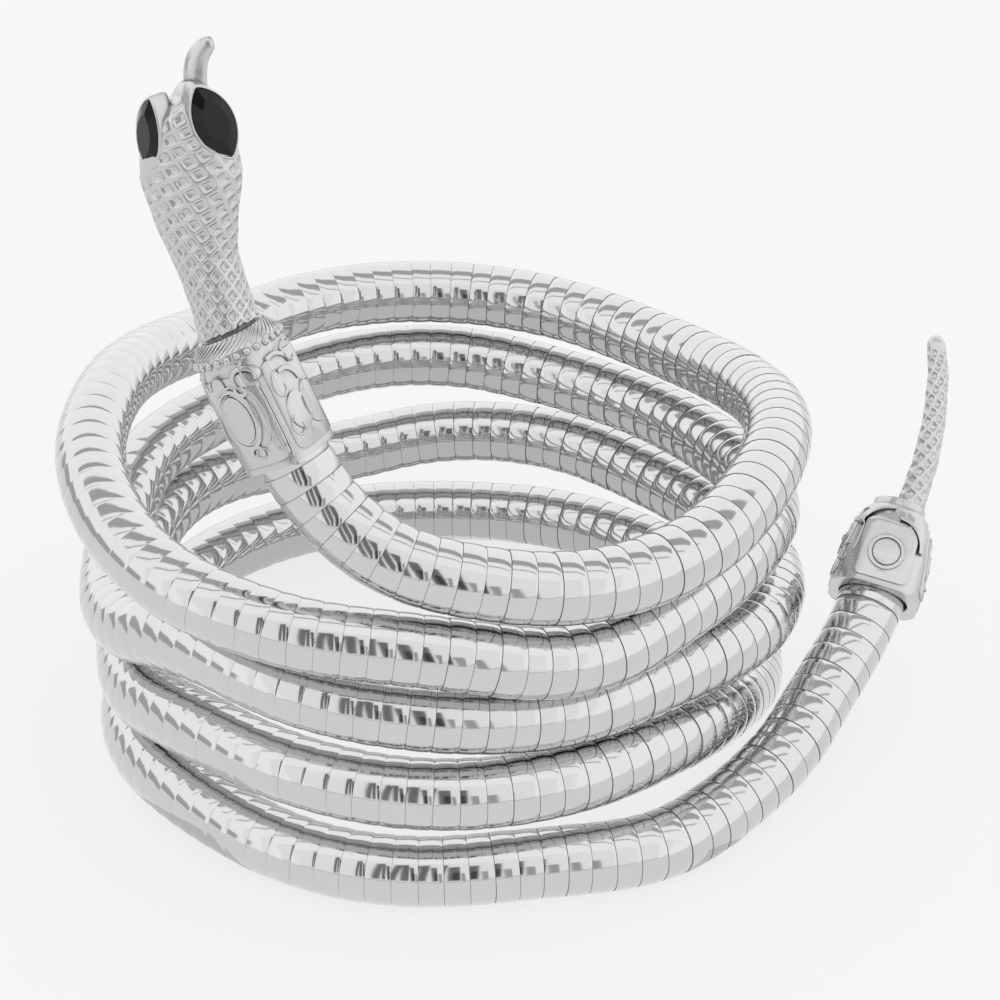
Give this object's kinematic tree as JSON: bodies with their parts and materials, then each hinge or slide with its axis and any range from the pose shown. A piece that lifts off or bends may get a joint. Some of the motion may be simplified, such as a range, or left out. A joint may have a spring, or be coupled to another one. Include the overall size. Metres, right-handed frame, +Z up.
{
  "type": "snake bracelet",
  "caption": "Wrap bracelet of banded silver tube coiled round the wrist, with a cast snake head with dark stone eyes and a cast tail",
  "frame": {"origin": "on the surface it stands on, at the middle of the coil, where the wrist's axis meets that surface", "axes": "+Z up along the coil's axis and the wrist, -Y towards the front, where the head rises at the left, +X to the side of the tail"},
  "size_m": [0.0875, 0.0734, 0.0796],
  "materials": {
    "polished_tube": "polished, silver coloured",
    "cast_silver": "cast and polished, slightly softer than the tube",
    "black_stone": "black cut stone, glossy"
  },
  "bodies": {
    "root": {"body_tube": "polished_tube", "head_collar": "cast_silver", "head": "cast_silver", "eye_left": "black_stone", "eye_right": "black_stone", "tail_collar": "cast_silver", "tail": "cast_silver"}
  },
  "joints": []
}
